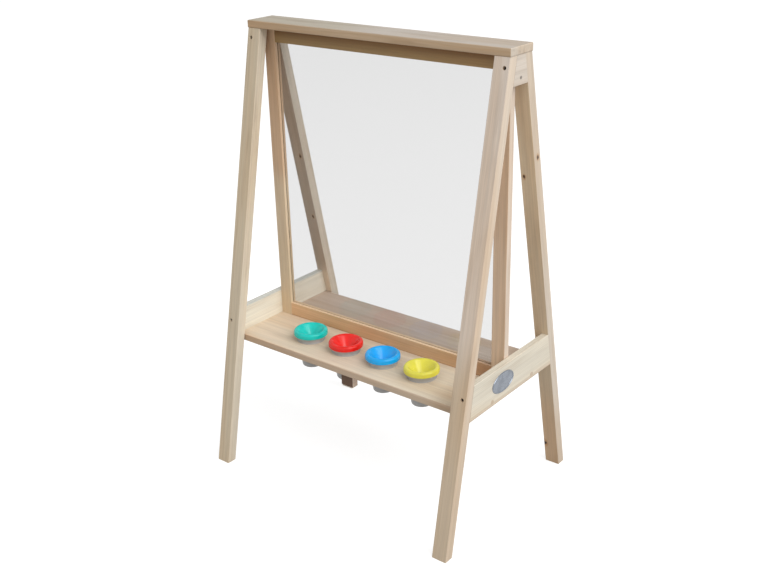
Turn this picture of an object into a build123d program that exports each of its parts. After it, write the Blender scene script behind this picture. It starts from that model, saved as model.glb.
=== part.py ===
from build123d import *
import math
import os

# A clear window easel for small children: a rigid A-frame of pale timber, a shelf with four paint pots
# and a clear pane in a frame between the legs.
# Millimetres. The floor is Z = 0, -Y is the painting side with the pots, X = 0 is the middle.

# Legs: the front and back legs lean together, and stand upright seen from the front
OVERALL_WIDTH = 776.0
FOOT_SPREAD = 562.0
TOP_SPREAD = 89.0
LEG_HEIGHT = 1152.0
LEG_WIDTH = 40.0
LEG_DEPTH = 27.0

# Boards that tie the legs together
BOARD = 19.0
CAP_LENGTH = 780.0
CAP_DEPTH = 91.0
BLOCK_HEIGHT = 66.0
END_BOARD_BOTTOM = 333.0
END_BOARD_HEIGHT = 92.0
SHELF_TOP = 357.0
SHELF_DEPTH = 357.0
SHELF_BLOCK_HEIGHT = 36.0
SHELF_BLOCK_SETBACK = 14.0
EASED_EDGE = 2.5
LEG_EASED_EDGE = 1.2
ROUNDED_EDGE = 6.0

# Window frame, in the middle plane
RAIL_WIDTH = 37.0
GROOVE_DEPTH = 6.0
GROOVE_WIDTH = 4.2
PANE_THICKNESS = 4.0
PANE_PLAY = 0.5

# Paint pots: heights are measured from the top of the shelf
POT_COLOURS = ("green", "red", "blue", "yellow")
POT_SPACING = 122.5
POT_ROW_Y = -93.5
POT_HOLE_RADIUS = 36.9
CUP_DEPTH = 75.0
CUP_WALL = 2.0
CUP_FOOT_RADIUS = 27.0
CUP_FOOT_ROUND = 5.0
CUP_NECK_RADIUS = 36.2
BEAD_RADIUS = 38.2
BEAD_HEIGHT = 2.2
COLLAR_RADIUS = 43.5
COLLAR_BOTTOM = 17.0
COLLAR_HEIGHT = 24.0
LID_RADIUS = 45.2
LID_SKIRT_BOTTOM = 15.6
LID_SHOULDER = 23.0
LID_CREST_RADIUS = 41.2
LID_CREST = 29.1
LID_WALL = 1.4
LID_FIT = 0.3
WELL_RADIUS = 33.7
WELL_LIP = 27.4
WELL_FLOOR = 2.0
TUBE_RADIUS = 10.5
TUBE_BOTTOM = -32.0

# Fasteners
LEG_SCREW_INSET = 11.5
UPPER_LEG_SCREW_Z = 1129.0
LOWER_LEG_SCREW_Z = 399.0
COUNTERBORE_RADIUS = 4.6
COUNTERBORE_DEPTH = 11.0
LEG_SCREW_HEAD_RADIUS = 4.3
LEG_SCREW_HEAD = 4.0
LEG_SCREW_RADIUS = 2.5
UPPER_LEG_SCREW_LENGTH = 34.0
LOWER_LEG_SCREW_LENGTH = 60.0
HEX_KEY_RADIUS = 2.2
WOOD_SCREW_RADIUS = 2.0
WOOD_SCREW_HEAD_RADIUS = 4.0
WOOD_SCREW_HEAD = 2.4
BLOCK_SCREW_Z = 1102.0
BLOCK_SCREW_LENGTH = 45.0
SHELF_SCREW_LENGTH = 50.0
RAIL_SCREW_LENGTH = 45.0
RAIL_SCREW_SPACING = 220.0
STILE_SCREW_INSET = 10.0
PLUG_RADIUS = 6.0
PLUG_DEPTH = 6.0
CAP_DOWEL_RADIUS = 5.0
CAP_DOWEL_INSET = 25.0
CAP_DOWEL_IN_CAP = 12.0
CAP_DOWEL_IN_LEG = 14.0
RAIL_DOWEL_RADIUS = 4.0
RAIL_DOWEL_LENGTH = 40.0
RAIL_DOWEL_HEIGHTS = (9.0, 24.0)

# Worked out from the driving dimensions
HALF_WIDTH = OVERALL_WIDTH / 2
SPLAY = math.atan2((FOOT_SPREAD - TOP_SPREAD) / 2, LEG_HEIGHT)
LEG_RUN = LEG_DEPTH / math.cos(SPLAY)
BAY = HALF_WIDTH - BOARD
WINDOW = BAY - RAIL_WIDTH
SHELF_BOTTOM = SHELF_TOP - BOARD
TOP_RAIL_BOTTOM = LEG_HEIGHT - RAIL_WIDTH
BOTTOM_RAIL_TOP = SHELF_TOP + RAIL_WIDTH
SIDES = (-1, 1)
FROM_TOP = (Align.CENTER, Align.CENTER, Align.MAX)
FROM_BOTTOM = (Align.CENTER, Align.CENTER, Align.MIN)


def outer_y(z):
    """Distance of a leg's outer face from the middle plane, at height z."""
    return FOOT_SPREAD / 2 - z * math.tan(SPLAY)


def inner_y(z):
    """Distance of a leg's inner face from the middle plane, at height z."""
    return outer_y(z) - LEG_RUN


def slab(outline, x_from, x_to):
    """A flat piece: an outline of (y, z) points, drawn out along X."""
    wire = Polyline(*[(x_from, y, z) for y, z in outline], close=True)
    return extrude(make_face(wire), x_to - x_from, dir=(1, 0, 0))


def bar(x_range, y_range, z_range):
    """A squared timber between three pairs of limits."""
    low, high = zip(x_range, y_range, z_range)
    size = [b - a for a, b in zip(low, high)]
    middle = [(a + b) / 2 for a, b in zip(low, high)]
    return Pos(*middle) * Box(*size)


def side_range(side, inner, outer):
    """The X limits of a piece between two distances from the middle, on one side."""
    return tuple(sorted((side * inner, side * outer)))


# Fasteners are drawn along -Z, with the timber's surface at Z = 0

def leg_screw(length):
    """A cap screw with a hex socket, whose head sits at the foot of its counterbore."""
    head = Cylinder(LEG_SCREW_HEAD_RADIUS, LEG_SCREW_HEAD, align=FROM_BOTTOM)
    socket = extrude(RegularPolygon(HEX_KEY_RADIUS, 6), LEG_SCREW_HEAD)
    shank = Cylinder(LEG_SCREW_RADIUS, length, align=FROM_TOP)
    return Pos(0, 0, -COUNTERBORE_DEPTH) * (head - Pos(0, 0, LEG_SCREW_HEAD / 2) * socket + shank)


def leg_screw_hole(length):
    """The counterbore and the bore of a leg screw."""
    counterbore = Cylinder(COUNTERBORE_RADIUS, COUNTERBORE_DEPTH, align=FROM_TOP)
    return counterbore + Pos(0, 0, -COUNTERBORE_DEPTH) * Cylinder(LEG_SCREW_RADIUS, length, align=FROM_TOP)


def wood_screw_body(length):
    """A countersunk screw without its drive, flush with the surface."""
    taper = Cone(WOOD_SCREW_RADIUS, WOOD_SCREW_HEAD_RADIUS, WOOD_SCREW_HEAD, align=FROM_TOP)
    return taper + Cylinder(WOOD_SCREW_RADIUS, length, align=FROM_TOP)


def wood_screw(length):
    """A countersunk screw with a cross slot."""
    arm = Box(WOOD_SCREW_HEAD_RADIUS * 1.2, WOOD_SCREW_RADIUS / 2, WOOD_SCREW_HEAD / 2, align=FROM_TOP)
    return wood_screw_body(length) - arm - Rot(0, 0, 90) * arm


def leg_screw_places(z):
    """The four places of a leg screw at one height, square to the legs' outer faces."""
    return [
        Plane(
            origin=(side * (HALF_WIDTH - LEG_SCREW_INSET), face * outer_y(z), z),
            x_dir=(1, 0, 0),
            z_dir=(0, face * math.cos(SPLAY), math.sin(SPLAY)),
        )
        for side in SIDES
        for face in SIDES
    ]


def end_places(y_places, z, depth=0.0):
    """Places on the outer faces of both ends, at a depth below the surface."""
    return [
        Plane(origin=(side * (HALF_WIDTH - depth), y, z), x_dir=(0, 1, 0), z_dir=(side, 0, 0))
        for side in SIDES
        for y in y_places
    ]


def rail_screw_places():
    """Places on the underside of the shelf, below the bottom rail and the stiles."""
    in_stile = BAY - STILE_SCREW_INSET
    row = (-in_stile, -RAIL_SCREW_SPACING, 0, RAIL_SCREW_SPACING, in_stile)
    return [Plane(origin=(x, 0, SHELF_BOTTOM), x_dir=(1, 0, 0), z_dir=(0, 0, -1)) for x in row]


def cap_dowels():
    """Dowels that hold the cap on the legs."""
    peg = Cylinder(CAP_DOWEL_RADIUS, CAP_DOWEL_IN_CAP + CAP_DOWEL_IN_LEG, align=FROM_BOTTOM)
    y = outer_y(LEG_HEIGHT) - LEG_RUN / 2
    x = HALF_WIDTH - CAP_DOWEL_INSET
    return [Pos(side * x, face * y, LEG_HEIGHT - CAP_DOWEL_IN_LEG) * peg for side in SIDES for face in SIDES]


def frame_dowels():
    """Dowels that join the rails to the stiles."""
    peg = Rot(0, 90, 0) * Cylinder(RAIL_DOWEL_RADIUS, RAIL_DOWEL_LENGTH)
    heights = [SHELF_TOP + up for up in RAIL_DOWEL_HEIGHTS]
    heights += [LEG_HEIGHT - down for down in RAIL_DOWEL_HEIGHTS]
    return [Pos(side * WINDOW, 0, z) * peg for side in SIDES for z in heights]


def placed(places, piece):
    """One copy of a piece at each place."""
    return [place * piece for place in places]


UPPER_LEG = leg_screw_places(UPPER_LEG_SCREW_Z)
LOWER_LEG = leg_screw_places(LOWER_LEG_SCREW_Z)
BLOCK_FACE = end_places([0], BLOCK_SCREW_Z)
SHELF_SCREW_YS = (-SHELF_DEPTH / 4, SHELF_DEPTH / 4)
SHELF_SCREW_Z = SHELF_TOP - BOARD / 2
PLUG_FACE = end_places(SHELF_SCREW_YS, SHELF_SCREW_Z)
PLUG_FLOOR = end_places(SHELF_SCREW_YS, SHELF_SCREW_Z, PLUG_DEPTH)


def fasteners():
    """Every group of like fasteners, by node name."""
    plug = Cylinder(PLUG_RADIUS, PLUG_DEPTH, align=FROM_TOP)
    return {
        "upper_leg_screws": placed(UPPER_LEG, leg_screw(UPPER_LEG_SCREW_LENGTH)),
        "lower_leg_screws": placed(LOWER_LEG, leg_screw(LOWER_LEG_SCREW_LENGTH)),
        "block_screws": placed(BLOCK_FACE, wood_screw(BLOCK_SCREW_LENGTH)),
        "shelf_screws": placed(PLUG_FLOOR, wood_screw(SHELF_SCREW_LENGTH)),
        "rail_screws": placed(rail_screw_places(), wood_screw(RAIL_SCREW_LENGTH)),
        "screw_plugs": placed(PLUG_FACE, plug),
        "cap_dowels": cap_dowels(),
        "frame_dowels": frame_dowels(),
    }


def fastener_holes():
    """What the fasteners take out of the timber."""
    plug = Cylinder(PLUG_RADIUS, PLUG_DEPTH, align=FROM_TOP)
    holes = placed(UPPER_LEG, leg_screw_hole(UPPER_LEG_SCREW_LENGTH))
    holes += placed(LOWER_LEG, leg_screw_hole(LOWER_LEG_SCREW_LENGTH))
    holes += placed(BLOCK_FACE, wood_screw_body(BLOCK_SCREW_LENGTH))
    holes += placed(PLUG_FACE, plug)
    holes += placed(PLUG_FLOOR, wood_screw_body(SHELF_SCREW_LENGTH))
    holes += placed(rail_screw_places(), wood_screw_body(RAIL_SCREW_LENGTH))
    return holes + cap_dowels() + frame_dowels()


def leg(side, face):
    """A leg, cut level at the floor and under the cap, with its long edges eased."""
    outline = [
        (face * outer_y(0), 0),
        (face * inner_y(0), 0),
        (face * inner_y(LEG_HEIGHT), LEG_HEIGHT),
        (face * outer_y(LEG_HEIGHT), LEG_HEIGHT),
    ]
    post = slab(outline, *side_range(side, HALF_WIDTH - LEG_WIDTH, HALF_WIDTH))
    return fillet([edge for edge in post.edges() if edge.length > LEG_HEIGHT], LEG_EASED_EDGE)


def between_legs(side, bottom, top):
    """A board between a front and a back leg, flush with their outer faces, its ends bevelled to them."""
    outline = [
        (-inner_y(bottom), bottom),
        (inner_y(bottom), bottom),
        (inner_y(top), top),
        (-inner_y(top), top),
    ]
    return slab(outline, *side_range(side, BAY, HALF_WIDTH))


def end_board(side):
    """A low board between the legs: its outer lower edge is well rounded, the others are eased."""
    board = between_legs(side, END_BOARD_BOTTOM, END_BOARD_BOTTOM + END_BOARD_HEIGHT)
    along = board.edges().filter_by(Axis.Y)
    lower_outer = along.group_by(Axis.Z)[0].sort_by(Axis.X)[0 if side < 0 else -1]
    board = fillet(lower_outer, ROUNDED_EDGE)
    return fillet(board.edges().filter_by(Axis.Y).group_by(Axis.Z)[-1], EASED_EDGE)


def top_block(side):
    """A trapezoid block between the legs, under the cap."""
    block = between_legs(side, LEG_HEIGHT - BLOCK_HEIGHT, LEG_HEIGHT)
    return fillet(block.edges().filter_by(Axis.Y).group_by(Axis.Z)[0], EASED_EDGE / 2)


def top_cap():
    """The board over the legs, with every edge eased."""
    half_length, half_depth = CAP_LENGTH / 2, CAP_DEPTH / 2
    board = bar((-half_length, half_length), (-half_depth, half_depth), (LEG_HEIGHT, LEG_HEIGHT + BOARD))
    return fillet(board.edges(), EASED_EDGE)


def pot_places():
    """The X of each pot, from left to right."""
    middle = (len(POT_COLOURS) - 1) / 2
    return [(index - middle) * POT_SPACING for index in range(len(POT_COLOURS))]


def shelf():
    """The shelf between the end boards, with a row of pot holes in its front half."""
    board = bar((-BAY, BAY), (-SHELF_DEPTH / 2, SHELF_DEPTH / 2), (SHELF_BOTTOM, SHELF_TOP))
    board = fillet(board.edges().filter_by(Axis.X), EASED_EDGE)
    hole = Cylinder(POT_HOLE_RADIUS, BOARD, align=FROM_TOP)
    return board - [Pos(x, POT_ROW_Y, SHELF_TOP) * hole for x in pot_places()]


def shelf_block():
    """A small block under the middle of the shelf, set back from its front edge."""
    front = -SHELF_DEPTH / 2 + SHELF_BLOCK_SETBACK
    half = RAIL_WIDTH / 2
    block = bar((-half, half), (front, front + BOARD), (SHELF_BOTTOM - SHELF_BLOCK_HEIGHT, SHELF_BOTTOM))
    return fillet(block.edges().group_by(Axis.Z)[0], EASED_EDGE / 2)


def stile(side):
    """An upright of the window frame, from the shelf to the cap, grooved for the pane."""
    half = BOARD / 2
    post = bar(side_range(side, WINDOW, BAY), (-half, half), (SHELF_TOP, LEG_HEIGHT))
    post = fillet(post.edges().filter_by(Axis.Z), EASED_EDGE / 2)
    groove = GROOVE_WIDTH / 2
    return post - bar(side_range(side, 0, WINDOW + GROOVE_DEPTH), (-groove, groove), (SHELF_TOP, LEG_HEIGHT))


def rail(bottom, groove_from, groove_to):
    """A rail of the window frame, between the stiles, grooved for the pane."""
    half = BOARD / 2
    timber = bar((-WINDOW, WINDOW), (-half, half), (bottom, bottom + RAIL_WIDTH))
    groove = GROOVE_WIDTH / 2
    return timber - bar((-WINDOW, WINDOW), (-groove, groove), (groove_from, groove_to))


def pane():
    """The clear pane: it stands in the bottom rail's groove, with play at its sides and top."""
    reach = WINDOW + GROOVE_DEPTH - PANE_PLAY
    half = PANE_THICKNESS / 2
    top = TOP_RAIL_BOTTOM + GROOVE_DEPTH - 2 * PANE_PLAY
    return bar((-reach, reach), (-half, half), (BOTTOM_RAIL_TOP - GROOVE_DEPTH, top))


def turned(*outline):
    """A round piece about the Z axis, from the lines and arcs of its half section in X and Z."""
    return revolve(make_face(Wire(outline)), Axis.Z)


def cup():
    """A tapered paint cup: a bead hangs it on the shelf, and a wider collar at its mouth carries the lid."""
    slope = (CUP_NECK_RADIUS - CUP_FOOT_RADIUS) / (CUP_DEPTH - CUP_FOOT_ROUND)
    collar_floor = COLLAR_BOTTOM + CUP_WALL
    inside_mouth = CUP_NECK_RADIUS + slope * collar_floor - CUP_WALL
    inside_foot = CUP_FOOT_RADIUS - CUP_WALL - slope * (CUP_FOOT_ROUND - CUP_WALL)
    foot_flat = CUP_FOOT_RADIUS - CUP_FOOT_ROUND
    section = Polyline(
        (CUP_FOOT_RADIUS, 0, CUP_FOOT_ROUND - CUP_DEPTH),
        (CUP_NECK_RADIUS, 0, 0),
        (BEAD_RADIUS, 0, 0),
        (BEAD_RADIUS, 0, BEAD_HEIGHT),
        (CUP_NECK_RADIUS + slope * BEAD_HEIGHT, 0, BEAD_HEIGHT),
        (CUP_NECK_RADIUS + slope * COLLAR_BOTTOM, 0, COLLAR_BOTTOM),
        (COLLAR_RADIUS, 0, COLLAR_BOTTOM),
        (COLLAR_RADIUS, 0, COLLAR_HEIGHT),
        (COLLAR_RADIUS - CUP_WALL, 0, COLLAR_HEIGHT),
        (COLLAR_RADIUS - CUP_WALL, 0, collar_floor),
        (inside_mouth, 0, collar_floor),
        (inside_foot, 0, CUP_WALL - CUP_DEPTH),
        (0, 0, CUP_WALL - CUP_DEPTH),
        (0, 0, -CUP_DEPTH),
        (foot_flat, 0, -CUP_DEPTH),
    )
    bend = CUP_FOOT_ROUND * math.sqrt(0.5)
    foot = ThreePointArc(
        (foot_flat, 0, -CUP_DEPTH),
        (foot_flat + bend, 0, CUP_FOOT_ROUND - CUP_DEPTH - bend),
        (CUP_FOOT_RADIUS, 0, CUP_FOOT_ROUND - CUP_DEPTH),
    )
    return turned(*section.edges(), foot)


def lid():
    """A no-spill lid in one shell: skirt, rolled rim, funnel-shaped well and drip tube."""
    skirt_inside = COLLAR_RADIUS + LID_FIT
    seat_inside = COLLAR_RADIUS - CUP_WALL
    rim_middle = (LID_RADIUS + WELL_RADIUS) / 2
    tube_outside = TUBE_RADIUS + LID_WALL
    shoulder = (LID_RADIUS, 0, LID_SHOULDER)
    well_lip = (WELL_RADIUS, 0, WELL_LIP)
    rim = ThreePointArc(shoulder, (LID_CREST_RADIUS, 0, LID_CREST), well_lip)
    shell = Polyline(
        well_lip,
        (TUBE_RADIUS, 0, WELL_FLOOR),
        (TUBE_RADIUS, 0, TUBE_BOTTOM),
        (tube_outside, 0, TUBE_BOTTOM),
        (tube_outside, 0, WELL_FLOOR - LID_WALL),
        (WELL_RADIUS + LID_WALL, 0, WELL_LIP - LID_WALL),
        (rim_middle, 0, LID_CREST - LID_WALL),
        (seat_inside, 0, LID_CREST - 2 * LID_WALL),
        (seat_inside, 0, COLLAR_HEIGHT),
        (skirt_inside, 0, COLLAR_HEIGHT),
        (skirt_inside, 0, LID_SKIRT_BOTTOM),
        (LID_RADIUS, 0, LID_SKIRT_BOTTOM),
        shoulder,
    )
    return turned(rim, *shell.edges())


def timbers():
    """Every wooden piece, by node name, before its fastener holes are drilled."""
    pieces = {}
    for side, hand in zip(SIDES, ("left", "right")):
        pieces[f"front_{hand}_leg"] = leg(side, -1)
        pieces[f"back_{hand}_leg"] = leg(side, 1)
        pieces[f"{hand}_top_block"] = top_block(side)
        pieces[f"{hand}_end_board"] = end_board(side)
        pieces[f"{hand}_stile"] = stile(side)
    pieces["top_rail"] = rail(TOP_RAIL_BOTTOM, TOP_RAIL_BOTTOM, TOP_RAIL_BOTTOM + GROOVE_DEPTH)
    pieces["bottom_rail"] = rail(SHELF_TOP, BOTTOM_RAIL_TOP - GROOVE_DEPTH, BOTTOM_RAIL_TOP)
    pieces["top_cap"] = top_cap()
    pieces["shelf"] = shelf()
    pieces["shelf_block"] = shelf_block()
    return pieces


def nodes():
    """Every node of the easel, by name."""
    holes = fastener_holes()
    pieces = {name: timber - holes for name, timber in timbers().items()}
    pieces["clear_pane"] = pane()
    for colour, x in zip(POT_COLOURS, pot_places()):
        place = Pos(x, POT_ROW_Y, SHELF_TOP)
        pieces[f"{colour}_cup"] = place * cup()
        pieces[f"{colour}_lid"] = place * lid()
    for name, copies in fasteners().items():
        pieces[name] = Compound(copies)
    return pieces


os.makedirs("parts", exist_ok=True)
for node_name, node in nodes().items():
    export_step(node, f"parts/{node_name}.step")
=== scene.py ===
"""Dresses a children's window easel with oiled timber, a clear pane and four no-spill paint pots."""

from math import atan2, ceil, cos, pi, radians, sin, tan
from typing import NamedTuple

import bpy
from bpy.props import FloatProperty, FloatVectorProperty, IntProperty, PointerProperty
from mathutils import Euler, Matrix, Vector


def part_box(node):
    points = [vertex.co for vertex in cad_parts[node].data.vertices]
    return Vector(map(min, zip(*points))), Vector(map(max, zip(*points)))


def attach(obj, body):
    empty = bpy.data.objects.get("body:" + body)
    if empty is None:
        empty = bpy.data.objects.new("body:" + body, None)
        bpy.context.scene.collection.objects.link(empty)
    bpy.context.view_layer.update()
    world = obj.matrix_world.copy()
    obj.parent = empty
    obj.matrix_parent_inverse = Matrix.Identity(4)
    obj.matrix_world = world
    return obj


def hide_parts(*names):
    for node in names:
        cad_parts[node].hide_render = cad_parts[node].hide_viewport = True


bl_info = {
    "name": "Window Easel",
    "version": (1, 0, 0),
    "blender": (4, 5, 0),
    "location": "View3D > Sidebar > Easel",
    "description": "Finishes the solids of a children's window easel and sets up its studio",
    "category": "Object",
}

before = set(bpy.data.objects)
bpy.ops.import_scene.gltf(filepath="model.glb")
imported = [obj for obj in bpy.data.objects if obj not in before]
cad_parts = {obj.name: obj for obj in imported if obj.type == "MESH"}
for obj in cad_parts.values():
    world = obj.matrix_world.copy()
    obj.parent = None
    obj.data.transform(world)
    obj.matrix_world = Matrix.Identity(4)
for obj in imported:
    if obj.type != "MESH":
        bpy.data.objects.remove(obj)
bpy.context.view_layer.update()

POT_COLOURS = ("green", "red", "blue", "yellow")

# Measures taken from the solids, in metres: +X right, -Y towards the painter, +Z up
SHELF_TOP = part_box("shelf")[1].z
RAIL_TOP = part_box("bottom_rail")[1].z
END_BOARD_LOW, END_BOARD_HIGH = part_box("right_end_board")
OUTER_FACE = END_BOARD_HIGH.x
LEG_LOW, LEG_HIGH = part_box("front_right_leg")
LEG_HEIGHT = LEG_HIGH.z - LEG_LOW.z
HALF_FOOT_SPREAD = -LEG_LOW.y

# No solid's box shows how far apart the legs' outer faces are at the top
HALF_TOP_SPREAD = 0.0445
SPLAY = atan2(HALF_FOOT_SPREAD - HALF_TOP_SPREAD, LEG_HEIGHT)

UP, RIGHT, FRONT, BACK = (0, 0, 1), (1, 0, 0), (0, -1, 0), (0, 1, 0)

# The log that a timber is sawn from has its heart along Z: these turn each grain direction to it
LOG_TURNS = {
    "along X": Euler((0, -pi / 2, 0)),
    "along Y": Euler((pi / 2, 0, 0)),
    "along Z": Euler((0, 0, 0)),
    "up a front leg": Euler((SPLAY, 0, 0)),
    "up a back leg": Euler((-SPLAY, 0, 0)),
}


class Knot(NamedTuple):
    """A pin knot: its middle in the easel's frame, and its radius."""

    middle: tuple
    radius: float


class Fade(NamedTuple):
    """A change of a timber's colour, which grows from one place along an axis to another. Some fades are
    the timber's own tone; many are painted light and shade.

    Without places it is on all of the timber. With a facing it is only on the faces that turn that way.
    """

    tint: tuple
    facing: tuple = ()
    axis: tuple = UP
    places: tuple = ()


class Timber(NamedTuple):
    """How one timber is sawn: its colour property, its grain, and its heart's offset from its middle.

    The tint, heartwood and end grain multiply its colour: all over, near the heart and on its cut ends.
    Contrast and figure say how strong its rings and its blotches are.
    """

    colour: str
    grain: str
    heart: tuple
    tint: tuple = (1, 1, 1)
    knots: tuple = ()
    fades: tuple = ()
    contrast: float = 0.36
    figure: float = 0.45
    heart_radius: float = 0.0
    heartwood: tuple = (1, 1, 1)
    end_grain: tuple = (0.93, 0.88, 0.82)


LEG_TIMBERS = {
    "front_left_leg": Timber(
        "leg_colour", "up a front leg", (0.012, -0.060, 0), tint=(1.15, 1.17, 1.17), figure=0.8,
        # Painted shade: the front faces darker than the sides
        fades=(Fade((0.905, 0.86, 0.79), FRONT),),
    ),
    "front_right_leg": Timber(
        "leg_colour", "up a front leg", (-0.070, 0.016, 0), tint=(1.02, 0.99, 1),
        contrast=0.22, figure=0.55,
        fades=(
            # Painted light: the front faces lighter than the sides
            Fade((1.15, 1.18, 1.26), FRONT),
            # Front and right faces darker towards the foot
            Fade((0.845, 0.785, 0.665), FRONT, places=(0.58, 0.40)),
            Fade((0.89, 0.83, 0.75), RIGHT, places=(0.42, 0.10)),
        ),
    ),
    "back_left_leg": Timber(
        "leg_colour", "up a back leg", (0.055, 0.050, 0), tint=(1.10, 1.13, 1.19),
        knots=(Knot((-0.361, 0.0915, 0.789), 0.003), Knot((-0.360, 0.1294, 0.604), 0.0028)),
        # Painted shade on the front faces, and painted light from the shelf on the front's lower end
        fades=(Fade((0.86, 0.79, 0.75), FRONT), Fade((1.42, 1.52, 1.62), FRONT, places=(0.46, 0.40))),
    ),
    "back_right_leg": Timber(
        "leg_colour", "up a back leg", (-0.050, 0.060, 0), tint=(0.95, 0.95, 0.985), contrast=0.28,
        knots=(
            Knot((0.3875, 0.083, 0.906), 0.0036),
            Knot((0.357, 0.077, 0.855), 0.003),
            Knot((0.352, 0.2435, 0.063), 0.005),
        ),
        fades=(
            # Painted light: the front faces warmer and lighter than the sides
            Fade((1.14, 1.05, 0.89), FRONT),
            # Front faces lighter towards the top; front and right faces darker towards the foot
            Fade((1.16, 1.23, 1.30), FRONT, places=(0.66, 0.86)),
            Fade((0.95, 0.82, 0.73), FRONT, places=(0.32, 0.12)),
            Fade((0.95, 0.90, 0.85), RIGHT, places=(0.26, 0.12)),
        ),
    ),
}
BOARD_TIMBERS = {
    "top_cap": Timber(
        "cap_colour", "along X", (0, -0.0655, -0.006), figure=0.9,
        heart_radius=0.0235, heartwood=(1.27, 1.035, 0.775), end_grain=(1.30, 1.30, 1.283),
        fades=(Fade((0.87, 0.87, 0.79), UP, RIGHT, (0.02, -0.14)),),
    ),
    "left_top_block": Timber("block_colour", "along Y", (-0.090, 0, 0.012), contrast=0.3),
    "right_top_block": Timber("block_colour", "along Y", (0.090, 0, -0.030), contrast=0.3),
    "left_end_board": Timber(
        "end_board_colour", "along Y", (0.050, 0, -0.140), tint=(1.20, 1.25, 1.30),
        fades=(Fade((0.72, 0.76, 0.82), places=(END_BOARD_HIGH.z - 0.0035, END_BOARD_HIGH.z - 0.0005)),),
    ),
    "right_end_board": Timber(
        "end_board_colour", "along Y", (-0.070, 0, 0.120), tint=(0.98, 0.99, 1), figure=0.6,
        # Painted shade along the lower edge
        fades=(Fade((0.95, 0.89, 0.87), places=(END_BOARD_LOW.z + 0.017, END_BOARD_LOW.z + 0.001)),),
    ),
    "shelf": Timber(
        "shelf_colour", "along X", (0, -0.1985, -0.004), heart_radius=0.0235, heartwood=(0.80, 0.71, 0.65),
        fades=(
            # Painted light, lighter towards the right end, evening out the shade there
            Fade((1.08, 1.15, 1.20), axis=RIGHT, places=(-0.1, 0.35)),
            # Painted shadow of the front right leg near the right end
            Fade((0.86, 0.81, 0.76), axis=RIGHT, places=(0.24, 0.31)),
            # Painted shade on the back half, behind the pane
            Fade((0.80, 0.77, 0.82), axis=BACK, places=(-0.02, 0.03)),
        ),
    ),
    "shelf_block": Timber(
        # The dark end grain on the front is partly its own dark wood, partly painted shade under the shelf
        "shelf_colour", "along Y", (0.060, 0, 0.020), end_grain=(0.23, 0.175, 0.162),
        # Painted light on the right face
        fades=(Fade((1.40, 1.40, 1.55), RIGHT),),
    ),
}
WINDOW_TIMBERS = {
    "left_stile": Timber(
        "stile_colour", "along Z", (0.060, 0.040, 0), tint=(1.03, 0.92, 0.82), contrast=0.28,
        fades=(
            # Painted light from the shelf on the lower stile
            Fade((1.13, 1.30, 1.42), places=(0.80, 0.72)),
            # Darker again further down
            Fade((0.92, 0.90, 0.86), places=(0.66, 0.56)),
        ),
    ),
    "right_stile": Timber(
        "stile_colour", "along Z", (-0.070, 0.030, 0), tint=(1.12, 1.07, 1.05),
        # Painted light on the right face
        fades=(Fade((0.93, 1.10, 1.35), RIGHT),),
    ),
    "top_rail": Timber(
        # Painted shade under the cap: colour and tint give the rail's own brown, darkened at its top
        "top_rail_colour", "along X", (0, 0.070, 0.040), tint=(0.77, 0.65, 0.50),
        fades=(
            # Painted shade under the cap: lighter towards the rail's lower edge
            Fade((1.70, 2.25, 3.15), places=(LEG_HEIGHT - 0.002, LEG_HEIGHT - 0.035)),
            Fade((1.14, 1.20, 1.34), axis=RIGHT, places=(-0.30, 0.33)),
        ),
    ),
    "bottom_rail": Timber(
        "bottom_rail_colour", "along X", (0, 0.060, -0.050), contrast=0.26,
        fades=(
            # Painted highlight along the top edge
            Fade((1.16, 1.30, 1.45), places=(RAIL_TOP - 0.0025, RAIL_TOP - 0.0002)),
            Fade((0.72, 0.66, 0.66), axis=RIGHT, places=(0.15, 0.32)),
            # Painted shade along the foot, where it meets the shelf
            Fade((0.72, 0.66, 0.60), places=(SHELF_TOP + 0.0035, SHELF_TOP + 0.0010)),
        ),
    ),
}
DOWEL_TIMBERS = {
    "cap_dowels": Timber("dowel_colour", "along Z", (0.040, 0.080, 0)),
    "frame_dowels": Timber("dowel_colour", "along X", (0, 0.080, 0.040)),
}
PLUG_TIMBER = Timber("end_board_colour", "along X", (0, 0.030, 0.050), end_grain=(0.84, 0.77, 0.74))


# Settings

def colour_property(name, description, default):
    """A colour, as linear red, green and blue."""
    return FloatVectorProperty(
        name=name, description=description, default=default, size=3, subtype="COLOR", min=0, max=1
    )


def length_property(name, description, default):
    """A length in metres."""
    return FloatProperty(
        name=name, description=description, default=default, min=0, precision=4,
        unit="LENGTH", subtype="DISTANCE",
    )


def angle_property(name, description, default):
    """An angle, given and shown in degrees."""
    return FloatProperty(
        name=name, description=description, default=radians(default), unit="ROTATION", subtype="ANGLE"
    )


def share_property(name, description, default):
    """A share from none to all."""
    return FloatProperty(
        name=name, description=description, default=default, min=0, max=1, subtype="FACTOR"
    )


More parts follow.
